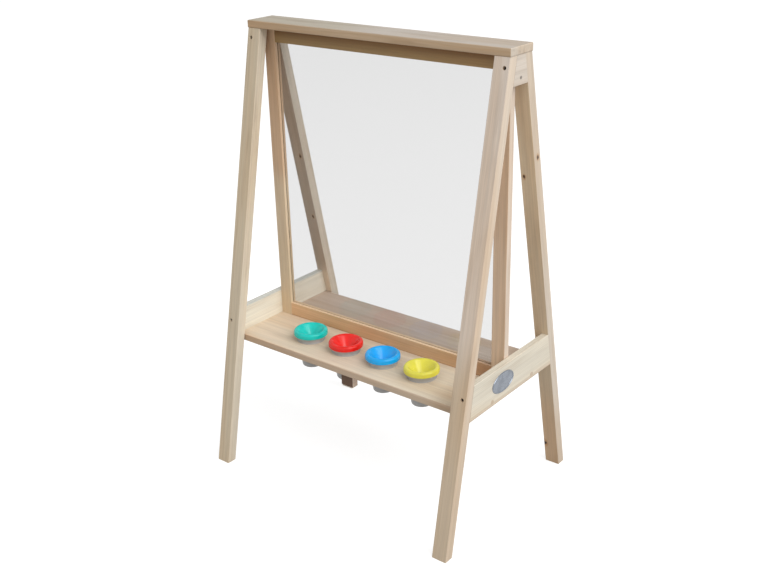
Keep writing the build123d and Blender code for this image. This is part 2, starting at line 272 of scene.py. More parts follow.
class EaselTimberSettings(bpy.types.PropertyGroup):
    """Colours and grain of the timber."""

    leg_colour: colour_property("Legs", "Pale timber of the legs", (0.66, 0.575, 0.46))
    cap_colour: colour_property("Cap", "Greyed timber of the board over the legs", (0.455, 0.406, 0.352))
    block_colour: colour_property("Top Blocks", "Timber of the blocks under the cap", (0.62, 0.55, 0.475))
    end_board_colour: colour_property("End Boards", "Creamy timber of the low boards", (0.72, 0.66, 0.545))
    shelf_colour: colour_property("Shelf", "Timber of the shelf and its block", (0.76, 0.64, 0.50))
    stile_colour: colour_property("Stiles", "Timber of the window's uprights", (0.675, 0.53, 0.39))
    # The top rail's colour is its own brown darkened by painted shade from the cap over it
    top_rail_colour: colour_property("Top Rail", "Brown timber over the pane", (0.30, 0.17, 0.068))
    bottom_rail_colour: colour_property("Bottom Rail", "Reddish timber under the pane", (0.76, 0.50, 0.295))
    dowel_colour: colour_property("Dowels", "Timber of the dowels", (0.64, 0.54, 0.41))
    ring_width: length_property("Ring Width", "Thickness of one year's growth", 0.0042)
    ring_contrast: share_property("Ring Contrast", "How dark the late growth is, over all timbers", 1.0)
    plug_radius: length_property("Plug Radius", "Radius of the plugs over the shelf's screws", 0.006)
    plug_depth: length_property("Plug Depth", "How deep a plug goes in", 0.006)


class EaselPaneSettings(bpy.types.PropertyGroup):
    """The clear pane in the window frame."""

    tint: colour_property("Tint", "What the pane lets by, as the eye sees it", (0.71, 0.71, 0.71))
    shade: colour_property("Shade", "What each face of the pane lets by, as light", (0.96, 0.96, 0.96))
    haze: share_property("Haze", "Roughness of the pane's faces", 0.015)


class EaselPotSettings(bpy.types.PropertyGroup):
    """The paint cups and their no-spill lids; heights are from the top of the shelf."""

    segments: IntProperty(
        name="Segments", description="Sides of a turned piece", default=96, min=12, max=256
    )
    cup_colour: colour_property("Cups", "Milky plastic of the cups", (0.45, 0.44, 0.43))
    cup_roughness: share_property("Cup Roughness", "Roughness of the cups' plastic", 0.38)
    cup_shine: share_property("Cup Shine", "Strength of the cups' reflections", 0.5)
    cup_milkiness: share_property("Cup Milkiness", "How much of the light wanders through the cups", 0.25)
    green: colour_property("Green Lid", "Plastic of the green lid", (0.0, 0.585, 0.515))
    red: colour_property("Red Lid", "Plastic of the red lid", (0.84, 0.010, 0.004))
    blue: colour_property("Blue Lid", "Plastic of the blue lid", (0.002, 0.405, 0.905))
    yellow: colour_property("Yellow Lid", "Plastic of the yellow lid", (0.805, 0.745, 0.077))
    lid_roughness: share_property("Lid Roughness", "Roughness of the lids' plastic", 0.20)
    lid_shine: share_property("Lid Shine", "Strength of the lids' reflections", 0.42)
    cup_depth: length_property("Cup Depth", "How far a cup hangs below the shelf's top", 0.075)
    cup_wall: length_property("Cup Wall", "Thickness of a cup", 0.002)
    foot_radius: length_property("Foot Radius", "Radius of a cup at its foot", 0.02634)
    foot_round: length_property("Foot Rounding", "Radius of the edge round a cup's foot", 0.005)
    neck_radius: length_property("Neck Radius", "Radius of a cup in the shelf's hole", 0.0362)
    bead_radius: length_property("Bead Radius", "Radius of the bead that hangs a cup on the shelf", 0.0382)
    bead_height: length_property("Bead Height", "Height of that bead", 0.0022)
    collar_bottom: length_property("Collar Bottom", "Underside of the collar", 0.017)
    collar_radius: length_property("Collar Radius", "Radius of the collar that carries the lid", 0.0435)
    collar_height: length_property("Collar Height", "Top of the collar", 0.024)
    lid_radius: length_property("Lid Radius", "Radius of a lid's skirt", 0.0452)
    lid_wall: length_property("Lid Wall", "Thickness of a lid", 0.0014)
    lid_fit: length_property("Lid Fit", "Gap between a lid's skirt and the collar", 0.0003)
    skirt_bottom: length_property("Skirt Bottom", "Lower edge of a lid's skirt", 0.0156)
    rim_top: length_property("Rim Top", "Top of a lid's rolled rim", 0.0296)
    rim_round: length_property("Rim Rounding", "Radius of the rolled rim", 0.00655)
    well_radius: length_property("Well Radius", "Where the well's wall would meet the rim's top", 0.0357)
    well_floor: length_property("Well Floor", "Where the well meets the tube", 0.002)
    tube_radius: length_property("Tube Radius", "Radius inside the drip tube", 0.0105)
    tube_length: length_property("Tube Length", "How far the drip tube hangs below the shelf's top", 0.032)


class EaselHardwareSettings(bpy.types.PropertyGroup):
    """Screws and the blank plate on the right end board."""

    leg_screw_colour: colour_property("Leg Screws", "Blackened steel", (0.030, 0.028, 0.026))
    leg_screw_roughness: share_property("Leg Screw Roughness", "Roughness of that steel", 0.5)
    leg_screw_inset: length_property("Leg Screw Inset", "From a leg's outer side to its screws", 0.0115)
    upper_screw_height: length_property("Upper Screws", "Height of the upper leg screws", 1.129)
    upper_screw_length: length_property("Upper Screw Length", "From the seat to the tip", 0.034)
    lower_screw_height: length_property("Lower Screws", "Height of the lower leg screws", 0.399)
    lower_screw_length: length_property("Lower Screw Length", "From the seat to the tip", 0.060)
    counterbore_depth: length_property("Counterbore", "Depth of a leg screw's seat", 0.011)
    leg_screw_radius: length_property("Leg Screw Radius", "Radius of a leg screw's shank", 0.0025)
    leg_head_radius: length_property("Leg Screw Head", "Radius of a leg screw's head", 0.0043)
    leg_head_height: length_property("Leg Screw Head Height", "Height of a leg screw's head", 0.004)
    hex_radius: length_property("Hex Socket", "Radius of the socket over its corners", 0.0022)
    wood_screw_colour: colour_property("Wood Screws", "Dulled steel", (0.28, 0.25, 0.22))
    wood_screw_roughness: share_property("Wood Screw Roughness", "Roughness of that steel", 0.42)
    wood_screw_length: length_property("Wood Screw Length", "Length of a screw in a top block", 0.045)
    wood_screw_radius: length_property("Wood Screw Radius", "Radius of a wood screw's shank", 0.002)
    wood_head_radius: length_property("Wood Screw Head", "Radius of a countersunk head", 0.004)
    wood_head_height: length_property("Wood Screw Head Height", "Depth of a countersunk head", 0.0024)
    plate_colour: colour_property("Plate", "Grey metal of the blank plate", (0.256, 0.279, 0.318))
    plate_roughness: share_property("Plate Roughness", "Roughness of that metal", 0.22)
    plate_middle: FloatVectorProperty(
        name="Plate Middle", description="Along Y and Z on the right end board", default=(-0.0435, 0.3835),
        size=2, unit="LENGTH",
    )
    plate_length: length_property("Plate Length", "Length of the oval plate", 0.093)
    plate_height: length_property("Plate Height", "Height of the oval plate", 0.052)
    plate_thickness: length_property("Plate Thickness", "How far the plate's rim stands out", 0.0022)
    plate_rim: length_property("Plate Rim", "Width of the plate's raised rim", 0.0044)


class EaselStageSettings(bpy.types.PropertyGroup):
    """Floor, light and camera."""

    floor_size: length_property("Floor Size", "Side of the floor", 80.0)
    floor_shade: share_property("Floor Shade", "How much light the floor throws back", 0.40)
    floor_glow: share_property("Floor Glow", "What makes the floor white to the eye", 0.76)
    sky: FloatProperty(name="Sky", description="Strength of the light from all round", default=0.65, min=0)
    key_power: FloatProperty(
        name="Key Power", description="Power of the large soft lamp", default=620.0, unit="POWER"
    )
    key_size: length_property("Key Size", "Side of the large soft lamp", 7.0)
    key_distance: length_property("Key Distance", "From the easel to the large soft lamp", 9.0)
    key_azimuth: angle_property("Key Azimuth", "Turn of the lamp from +X towards +Y", -6.0)
    key_elevation: angle_property("Key Elevation", "Height of the lamp over the horizon", 42.0)
    lens: FloatProperty(name="Lens", description="Focal length in mm on a 36 mm sensor", default=48.73)
    azimuth: angle_property("Azimuth", "Turn of the camera from -Y towards +X", 38.87)
    elevation: angle_property("Elevation", "Height of the camera over the horizon", 23.0)
    roll: angle_property("Roll", "Turn of the camera about its own axis", -1.42)
    distance: length_property("Distance", "From the camera to the point it looks at", 2.69216)
    target_height: length_property("Target Height", "Height of the point the camera looks at", 0.51335)
    target_shift: FloatProperty(
        name="Target Shift", description="Along the camera's own right", default=-0.00106, unit="LENGTH"
    )


# Node trees

class Graph:
    """Adds nodes to a node tree and joins them up."""

    def __init__(self, tree):
        self.tree = tree

    @classmethod
    def group(cls, name, kind, inputs, outputs):
        """A new node group, from the name and the type of each of its sockets."""
        tree = bpy.data.node_groups.new(name, kind)
        for in_out, sockets in (("INPUT", inputs), ("OUTPUT", outputs)):
            for label, type_name in sockets.items():
                tree.interface.new_socket(label, in_out=in_out, socket_type=f"NodeSocket{type_name}")
        graph = cls(tree)
        graph.given = graph.add("NodeGroupInput").outputs
        return graph

    def give(self, **results):
        """Puts the results out of a node group, and returns its tree."""
        self.add("NodeGroupOutput", results)
        return self.tree

    def feed(self, socket, source):
        """Links an output to a socket, or sets the socket's value."""
        if isinstance(source, bpy.types.NodeSocket):
            self.tree.links.new(source, socket)
        else:
            socket.default_value = source

    def add(self, kind, feeds=None, **settings):
        """A new node with its settings, and a source for each named or numbered input."""
        node = self.tree.nodes.new(kind)
        for key, value in settings.items():
            setattr(node, key, value)
        for key, source in (feeds or {}).items():
            self.feed(node.inputs[key], source)
        return node

    def out(self, kind, feeds=None, **settings):
        """The first output of a new node."""
        return self.add(kind, feeds, **settings).outputs[0]

    def maths(self, operation, *sources):
        """The result of a sum on numbers."""
        return self.out("ShaderNodeMath", dict(enumerate(sources)), operation=operation)

    def vector(self, operation, *sources):
        """The result of a sum on vectors."""
        node = self.add("ShaderNodeVectorMath", dict(enumerate(sources)), operation=operation)
        is_number = operation in {"LENGTH", "DOT_PRODUCT"}
        return node.outputs["Value" if is_number else "Vector"]

    def combine(self, x, y, z):
        """A vector from three numbers."""
        return self.out("ShaderNodeCombineXYZ", {0: x, 1: y, 2: z})

    def mix(self, factor, first, second, blend="MIX"):
        """A mix of two colours."""
        feeds = {0: factor, 6: first, 7: second}
        return self.add("ShaderNodeMix", feeds, data_type="RGBA", blend_type=blend).outputs[2]

    def stained(self, tone, *stains):
        """A tone multiplied in turn by colours or grey levels, each by its own share."""
        for share, stain in stains:
            tone = self.mix(share, tone, stain, "MULTIPLY")
        return tone

    def span(self, value, start, end, to_start=0.0, to_end=1.0):
        """A number moved smoothly from one span, which may run down, to another."""
        feeds = {"Value": value, 1: start, 2: end, 3: to_start, 4: to_end}
        return self.out("ShaderNodeMapRange", feeds, interpolation_type="SMOOTHSTEP")

    def noise(self, place, density, detail=2.0):
        """Noise over a place, with so many bumps to the metre along each axis."""
        scaled = self.vector("MULTIPLY", place, density)
        return self.out("ShaderNodeTexNoise", {"Vector": scaled, "Scale": 1.0, "Detail": detail})

    def ramp(self, factor, stops):
        """A ramp of grey through (position, level) stops."""
        node = self.add("ShaderNodeValToRGB", {0: factor})
        elements = node.color_ramp.elements
        while len(elements) < len(stops):
            elements.new(0.5)
        for element, (position, level) in zip(elements, stops):
            element.position = position
            element.color = (level, level, level, 1)
        return node.outputs[0]


def opaque(colour):
    """A colour with full alpha."""
    return (*colour, 1.0)


def shared_tree(build):
    """The node group that a function builds, named after it and built when it is first asked for."""
    name = build.__name__.replace("_", " ").title()
    return bpy.data.node_groups.get(name) or build(name)


# Shader groups

SURFACE = {"Color": "Color", "Roughness": "Float", "Height": "Float"}

# How far rings stray, slowly and finely, and how wide the heartwood's edge is, in metres
RING_WANDER = 0.012
RING_RIPPLE = 0.003
HEART_EDGE = 0.004

# How dark a ring is, from none to all, at shares of one year
RING_PROFILE = ((0.0, 0.5), (0.1, 0.0), (0.5, 0.15), (0.88, 1.0), (1.0, 0.5))

# Colours that multiply a timber's tone
LATE_GROWTH = (0.78, 0.67, 0.54, 1.0)
WARM_DRIFT = (0.95, 0.87, 0.78, 1.0)
BLOTCH = (0.76, 0.70, 0.64, 1.0)

# What cut ends add to a timber's roughness, and what hard late growth takes off it
CUT_ROUGHNESS = 0.15
LATE_POLISH = 0.06


def timber_grain(name):
    """Growth rings round a log's heart, fibres along it, a drift of tone, heartwood and cut ends."""
    inputs = {
        "Place in Log": "Vector",
        "Grain Axis": "Vector",
        "Tone": "Color",
        "Heartwood": "Color",
        "Heart Radius": "Float",
        "End Grain": "Color",
        "Ring Width": "Float",
        "Contrast": "Float",
        "Figure": "Float",
    }
    graph = Graph.group(name, "ShaderNodeTree", inputs, SURFACE)
    given = graph.given
    place = given["Place in Log"]

    wander = graph.maths("MULTIPLY", graph.noise(place, (9, 9, 1.8)), RING_WANDER)
    wander = graph.maths("MULTIPLY_ADD", graph.noise(place, (60, 60, 8)), RING_RIPPLE, wander)
    from_heart = graph.vector("LENGTH", graph.vector("MULTIPLY", place, (1, 1, 0)))
    years = graph.maths("DIVIDE", graph.maths("ADD", from_heart, wander), given["Ring Width"])
    season = graph.ramp(graph.maths("FRACT", years), RING_PROFILE)
    year = graph.out("ShaderNodeTexWhiteNoise", {"W": graph.maths("FLOOR", years)}, noise_dimensions="1D")
    late = graph.maths("MULTIPLY", season, graph.span(year, 0, 1, 0.3, 1.0))
    growth = graph.maths("MULTIPLY", late, given["Contrast"])

    fibre = graph.noise(place, (900, 900, 14), detail=3)
    streak = graph.noise(place, (130, 130, 2.5), detail=3)
    light = graph.span(fibre, 0.25, 0.75, 0.93, 1.06)
    light = graph.maths("MULTIPLY", light, graph.span(streak, 0.3, 0.7, 0.94, 1.05))
    drift = graph.span(graph.noise(place, (14, 14, 1.6)), 0.4, 0.75)
    blotch = graph.span(graph.noise(place, (45, 45, 4.5), detail=3), 0.5, 0.78)
    blotch = graph.maths("MULTIPLY", blotch, given["Figure"])

    normal = graph.add("ShaderNodeNewGeometry").outputs["True Normal"]
    across = graph.maths("ABSOLUTE", graph.vector("DOT_PRODUCT", normal, given["Grain Axis"]))
    cut = graph.span(across, 0.35, 0.65)
    heart_rim = graph.maths("ADD", given["Heart Radius"], HEART_EDGE)
    near_heart = graph.span(from_heart, given["Heart Radius"], heart_rim, 1.0, 0.0)
    near_heart = graph.maths("MULTIPLY", near_heart, graph.maths("SUBTRACT", 1.0, cut))

    tone = graph.stained(
        given["Tone"],
        (drift, WARM_DRIFT),
        (near_heart, given["Heartwood"]),
        (blotch, BLOTCH),
        (growth, LATE_GROWTH),
        (1.0, light),
        (cut, given["End Grain"]),
    )
    polish = graph.span(fibre, 0.2, 0.8, 0.50, 0.62)
    polish = graph.maths("MULTIPLY_ADD", cut, CUT_ROUGHNESS, polish)
    polish = graph.maths("MULTIPLY_ADD", late, -LATE_POLISH, polish)
    return graph.give(Color=tone, Roughness=polish, Height=graph.maths("MULTIPLY_ADD", late, 0.5, fibre))


def pin_knot(name):
    """A small knot: a dark core and a warm ring round it, longer along the grain."""
    inputs = {"Place in Log": "Vector", "Middle": "Vector", "Radius": "Float"}
    graph = Graph.group(name, "ShaderNodeTree", inputs, {"Core": "Float", "Halo": "Float"})
    place = graph.given["Place in Log"]
    offset = graph.vector("SUBTRACT", place, graph.given["Middle"])
    away = graph.vector("LENGTH", graph.vector("MULTIPLY", offset, (1, 1, 0.6)))
    away = graph.maths("DIVIDE", away, graph.given["Radius"])
    ragged = graph.maths("ADD", away, graph.span(graph.noise(place, (260, 260, 160)), 0, 1, -0.4, 0.4))
    core = graph.span(ragged, 0.75, 1.1, 1.0, 0.0)
    halo = graph.span(ragged, 0.9, 2.2, 1.0, 0.0)
    return graph.give(Core=core, Halo=halo)


def moulded_plastic(name):
    """Moulded plastic: a faint mottle in the colour, fine orange peel and rubbed patches."""
    inputs = {"Place": "Vector", "Tone": "Color", "Gloss Roughness": "Float"}
    graph = Graph.group(name, "ShaderNodeTree", inputs, SURFACE)
    place = graph.given["Place"]
    mottle = graph.span(graph.noise(place, (45, 45, 45), detail=3), 0.3, 0.7, 0.93, 1.04)
    rubbed = graph.span(graph.noise(place, (90, 90, 140), detail=4), 0.4, 0.75, 0.0, 0.08)
    tone = graph.stained(graph.given["Tone"], (1.0, mottle))
    polish = graph.maths("ADD", graph.given["Gloss Roughness"], rubbed)
    return graph.give(Color=tone, Roughness=polish, Height=graph.noise(place, (700, 700, 700), detail=1))


def brushed_metal(name):
    """Brushed metal: fine scratches along one axis, with a dulled patch here and there."""
    inputs = {"Place": "Vector", "Tone": "Color", "Brush": "Vector", "Base Roughness": "Float"}
    graph = Graph.group(name, "ShaderNodeTree", inputs, SURFACE)
    given = graph.given
    scratch = graph.noise(given["Place"], given["Brush"])
    dull = graph.span(graph.noise(given["Place"], (60, 60, 60), detail=3), 0.4, 0.7)
    light = graph.span(scratch, 0.3, 0.7, 0.92, 1.06)
    light = graph.maths("MULTIPLY", light, graph.span(dull, 0, 1, 1.0, 0.86))
    tone = graph.stained(given["Tone"], (1.0, light))
    polish = graph.maths("MULTIPLY_ADD", dull, 0.14, given["Base Roughness"])
    polish = graph.maths("ADD", polish, graph.span(scratch, 0, 1, -0.06, 0.06))
    return graph.give(Color=tone, Roughness=polish, Height=scratch)


# Materials

TIMBER_SHINE = 0.35
KNOT_HALO = (0.80, 0.62, 0.46, 1.0)
KNOT_CORE = (0.050, 0.028, 0.018, 1.0)

# How squarely a face turns one way where a fade on such faces begins, and where it is whole
SQUARE_ON = (0.6, 0.9)

PANE_IOR = 1.3
MILKY_REACH = 0.006
METALLIC = 0.9

# Scratches to the metre along X, Y and Z
LEG_SCREW_BRUSH = (500, 500, 500)
WOOD_SCREW_BRUSH = (400, 400, 400)
PLATE_BRUSH = (900, 40, 900)


def new_material(name, values):
    """A new material with plain shader values, and its graph, its shader and its object coordinates."""
    material = bpy.data.materials.new(name)
    material.use_nodes = True
    graph = Graph(material.node_tree)
    shader = material.node_tree.nodes["Principled BSDF"]
    for key, value in values.items():
        shader.inputs[key].default_value = value
    place = graph.add("ShaderNodeTexCoord").outputs["Object"]
    return material, graph, shader, place


def use_group(graph, build, feeds):
    """The outputs of a shared shader group placed in a material."""
    return graph.add("ShaderNodeGroup", feeds, node_tree=shared_tree(build)).outputs


def surface(graph, shader, outputs, bump, depth):
    """Feeds a group's colour, roughness and height to a principled shader."""
    graph.feed(shader.inputs["Base Color"], outputs["Color"])
    graph.feed(shader.inputs["Roughness"], outputs["Roughness"])
    feeds = {"Strength": bump, "Distance": depth, "Height": outputs["Height"]}
    graph.feed(shader.inputs["Normal"], graph.out("ShaderNodeBump", feeds))


def middle_of(node):
    """The middle of a CAD node's box."""
    low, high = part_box(node)
    return (low + high) / 2


def timber_material(node, timber):
    """The oiled timber of one piece, with its own place in the log, its fades and its knots."""
    settings = bpy.context.scene.easel_timber
    turn = LOG_TURNS[timber.grain].to_matrix()
    heart = middle_of(node) + Vector(timber.heart)
    colour = getattr(settings, timber.colour)

    material, graph, shader, place = new_material(f"{node} timber", {"Specular IOR Level": TIMBER_SHINE})
    feeds = {"Vector": place, "Location": -(turn @ heart), "Rotation": LOG_TURNS[timber.grain]}
    in_log = graph.out("ShaderNodeMapping", feeds)
    grain = use_group(graph, timber_grain, {
        "Place in Log": in_log,
        "Grain Axis": turn.inverted() @ Vector(UP),
        "Tone": opaque(tone * tint for tone, tint in zip(colour, timber.tint)),
        "Heartwood": opaque(timber.heartwood),
        "Heart Radius": timber.heart_radius,
        "End Grain": opaque(timber.end_grain),
        "Ring Width": settings.ring_width,
        "Contrast": settings.ring_contrast * timber.contrast,
        "Figure": timber.figure,
    })
    surface(graph, shader, grain, bump=0.25, depth=0.0003)

    tone = grain["Color"]
    normal = graph.add("ShaderNodeNewGeometry").outputs["True Normal"]
    # Each fade multiplies the tone: some are the timber's own tone, many are painted light and shade
    for fade in timber.fades:
        share = 1.0
        if fade.places:
            share = graph.span(graph.vector("DOT_PRODUCT", place, fade.axis), *fade.places)
        if fade.facing:
            turned = graph.span(graph.vector("DOT_PRODUCT", normal, fade.facing), *SQUARE_ON)
            share = graph.maths("MULTIPLY", share, turned)
        tone = graph.stained(tone, (share, opaque(fade.tint)))
    for knot in timber.knots:
        middle = turn @ (Vector(knot.middle) - heart)
        feeds = {"Place in Log": in_log, "Middle": middle, "Radius": knot.radius}
        masks = use_group(graph, pin_knot, feeds)
        tone = graph.stained(tone, (masks["Halo"], KNOT_HALO))
        tone = graph.mix(masks["Core"], tone, KNOT_CORE)
    graph.feed(shader.inputs["Base Color"], tone)
    return material


def pane_material():
    """Clear acrylic, which lets the studio's light through to what stands behind it."""
    settings = bpy.context.scene.easel_pane
    material, graph, shader, place = new_material("clear acrylic", {
        "Base Color": opaque(settings.tint),
        "Transmission Weight": 1.0,
        "IOR": PANE_IOR,
    })
    wiped = graph.noise(place, (5, 5, 9), detail=3)
    graph.feed(shader.inputs["Roughness"], graph.span(wiped, 0.3, 0.8, settings.haze / 2, settings.haze))
    is_shadow = graph.add("ShaderNodeLightPath").outputs["Is Shadow Ray"]
    open_to_light = graph.out("ShaderNodeBsdfTransparent", {"Color": opaque(settings.shade)})
    both = graph.out("ShaderNodeMixShader", {0: is_shadow, 1: shader.outputs[0], 2: open_to_light})
    graph.feed(material.node_tree.nodes["Material Output"].inputs["Surface"], both)
    return material


def plastic_material(name, colour, roughness, shine, milkiness=0.0):
    """Moulded plastic in one colour."""
    material, graph, shader, place = new_material(name, {
        "Specular IOR Level": shine,
        "Subsurface Weight": milkiness,
        "Subsurface Radius": (MILKY_REACH, MILKY_REACH, MILKY_REACH),
        "Subsurface Scale": 1.0,
    })
    feeds = {"Place": place, "Tone": opaque(colour), "Gloss Roughness": roughness}
    surface(graph, shader, use_group(graph, moulded_plastic, feeds), bump=0.08, depth=0.0002)
    return material


def metal_material(name, kind, brush):
    """The metal of one kind of hardware; brush is its scratches to the metre along each axis."""
    hardware = bpy.context.scene.easel_hardware
    material, graph, shader, place = new_material(name, {"Metallic": METALLIC})
    metal = use_group(graph, brushed_metal, {
        "Place": place,
        "Tone": opaque(getattr(hardware, f"{kind}_colour")),
        "Brush": brush,
        "Base Roughness": getattr(hardware, f"{kind}_roughness"),
    })
    surface(graph, shader, metal, bump=0.1, depth=0.0001)
    return material


def dress(node, material):
    """Gives a CAD node its material."""
    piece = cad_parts[node]
    if not piece.material_slots:
        piece.data.materials.append(material)
    for slot in piece.material_slots:
        slot.material = material


def dress_timbers(timbers):
    """Gives each timber its own material."""
    for node, timber in timbers.items():
        dress(node, timber_material(node, timber))


# Geometry trees

PIECES = {"Pieces": "Geometry"}

# Points closer than this in metres are one, and edges bent further than this look sharp
WELD = 1e-5
CREASE = radians(35)


def real_pieces(graph, pieces):
    """Ends a geometry tree with real meshes in its finish."""
    pieces = graph.out("GeometryNodeRealizeInstances", {"Geometry": pieces})
    feeds = {"Geometry": pieces, "Material": graph.given["Finish"]}
    return graph.give(Pieces=graph.out("GeometryNodeSetMaterial", feeds))


def turned_piece(name):
    """A round piece about Z, from the points of its half section in X and Z."""
    inputs = {
        "Section": "Geometry",
        "Segments": "Int",
        "Foot": "Vector",
        "Crease": "Float",
        "Finish": "Material",
    }
    graph = Graph.group(name, "GeometryNodeTree", inputs, PIECES)
    given = graph.given
    rows = graph.add("GeometryNodeAttributeDomainSize", {0: given["Section"]}).outputs["Point Count"]
    columns = graph.maths("ADD", given["Segments"], 1)
    sheet = graph.out("GeometryNodeMeshGrid", {"Vertices X": columns, "Vertices Y": rows})

    index = graph.out("GeometryNodeInputIndex")
    column = graph.maths("FLOOR", graph.maths("DIVIDE", graph.maths("ADD", index, 0.5), rows))
    row = graph.maths("SUBTRACT", index, graph.maths("MULTIPLY", column, rows))
    angle = graph.maths("DIVIDE", graph.maths("MULTIPLY", column, 2 * pi), given["Segments"])
    feeds = {"Geometry": given["Section"], "Value": graph.out("GeometryNodeInputPosition"), "Index": row}
    point = graph.out("GeometryNodeSampleIndex", feeds, data_type="FLOAT_VECTOR")
    radius, _, height = graph.add("ShaderNodeSeparateXYZ", {0: point}).outputs
    swept = graph.combine(
        graph.maths("MULTIPLY", radius, graph.maths("COSINE", angle)),
        graph.maths("MULTIPLY", radius, graph.maths("SINE", angle)),
        height,
    )
    place = graph.vector("ADD", swept, given["Foot"])
    mesh = graph.out("GeometryNodeSetPosition", {"Geometry": sheet, "Position": place})
    mesh = graph.out("GeometryNodeMergeByDistance", {"Geometry": mesh, "Distance": WELD})

    mesh = graph.out("GeometryNodeSetShadeSmooth", {"Geometry": mesh}, domain="FACE")
    bend = graph.add("GeometryNodeInputMeshEdgeAngle").outputs["Unsigned Angle"]
    sharp = graph.maths("GREATER_THAN", bend, given["Crease"])
    feeds = {"Geometry": mesh, "Selection": sharp, "Shade Smooth": False}
    return real_pieces(graph, graph.out("GeometryNodeSetShadeSmooth", feeds, domain="EDGE"))


def fastener_set(name):
    """Like fasteners on both sides of the easel, in one row or in a front and a back row."""
    inputs = {
        "Fastener": "Geometry",
        "Rows": "Int",
        "Seat": "Vector",
        "Lean": "Float",
        "Turn": "Float",
        "Seed": "Int",
        "Finish": "Material",
    }
    graph = Graph.group(name, "GeometryNodeTree", inputs, PIECES)
    given = graph.given
    index = graph.out("GeometryNodeInputIndex")
    row = graph.maths("FLOOR", graph.maths("DIVIDE", index, 2))
    column = graph.maths("SUBTRACT", index, graph.maths("MULTIPLY", row, 2))
    side = graph.maths("SUBTRACT", graph.maths("MULTIPLY", column, 2), 1)
    face = graph.maths("SUBTRACT", graph.maths("MULTIPLY", row, 2), 1)
    place = graph.vector("MULTIPLY", given["Seat"], graph.combine(side, face, 1))
    count = graph.maths("MULTIPLY", given["Rows"], 2)
    points = graph.out("GeometryNodePoints", {"Count": count, "Position": place})

    lean = graph.maths("MULTIPLY", graph.maths("MULTIPLY", face, given["Lean"]), -1)
    turn = graph.maths("MULTIPLY", side, given["Turn"])
    facing = graph.out("FunctionNodeEulerToRotation", {0: graph.combine(lean, turn, 0)})

    # Sockets 2 and 3 are the least and the most of a random number, and output 1 is that number
    twist = graph.add("FunctionNodeRandomValue", {2: 0.0, 3: pi, "Seed": given["Seed"]}).outputs[1]
    driven = graph.out("FunctionNodeAxisAngleToRotation", {"Axis": UP, "Angle": twist})
    feeds = {"Rotation": facing, "Rotate By": driven}
    rotation = graph.out("FunctionNodeRotateRotation", feeds, rotation_space="LOCAL")
    feeds = {"Points": points, "Instance": given["Fastener"], "Rotation": rotation}
    return real_pieces(graph, graph.out("GeometryNodeInstanceOnPoints", feeds))


def grown(name, start, build, values):
    """A plain mesh object made by a geometry tree from a starting mesh and its input values."""
    tree = shared_tree(build)
    piece = bpy.data.objects.new(name, start)
    modifier = piece.modifiers.new(tree.name, "NODES")
    modifier.node_group = tree
    sockets = {item.name: item.identifier for item in tree.interface.items_tree if item.in_out == "INPUT"}
    for label, value in values.items():
        modifier[sockets[label]] = value
    bpy.context.scene.collection.objects.link(piece)
    ready = piece.evaluated_get(bpy.context.evaluated_depsgraph_get())
    mesh = bpy.data.meshes.new_from_object(ready)
    if not mesh.polygons:
        raise RuntimeError(f"{tree.name} made no faces for {name}")
    piece.modifiers.clear()
    piece.data = mesh
    mesh.name = name
    return piece


# Sections of cups and lids

ROUNDING_STEP = radians(12)

# Radii of the roundings along their edges, from the crispest to the softest
CRISP = 0.0003
THIN_EDGE = 0.0005
COLLAR_EDGE = 0.0006
BEAD_EDGE = 0.0008
INNER_BEND = 0.001
TUBE_MOUTH = 0.003

# How far the hollow in a lid's rolled rim stays below the rim's top, in walls of the lid
HOLLOW_BY_WELL = 2.6
HOLLOW_MIDWAY = 1.4
HOLLOW_BY_SKIRT = 2.4


class Corner(NamedTuple):
    """A corner of a half section, with the radius of its rounding."""

    radius: float
    height: float
    rounding: float = 0.0


def rounded(before, corner, after):
    """The points of a corner's rounding, or the corner itself where it is sharp."""
    here = Vector((corner.radius, corner.height))
    if not corner.rounding:
        return [here]
    back = (Vector((before.radius, before.height)) - here).normalized()
    on = (Vector((after.radius, after.height)) - here).normalized()
    opening = back.angle(on)
    inwards = (back + on).normalized()
    middle = here + inwards * (corner.rounding / sin(opening / 2))
    start = here + back * (corner.rounding / tan(opening / 2)) - middle
    turning = pi - opening
    turn = -turning if back.cross(on) > 0 else turning
    steps = ceil(turning / ROUNDING_STEP)
    return [middle + Matrix.Rotation(turn * step / steps, 2) @ start for step in range(steps + 1)]


def section_mesh(name, corners, closed):
    """The points of a half section, going up its outer side first."""
    points = []
    for index, corner in enumerate(corners):
        after = corners[(index + 1) % len(corners)]
        points += rounded(corners[index - 1], corner, after)
    if closed:
        points.append(points[0])
    mesh = bpy.data.meshes.new(name)
    mesh.from_pydata([(point.x, 0, point.y) for point in points], [], [])
    return mesh


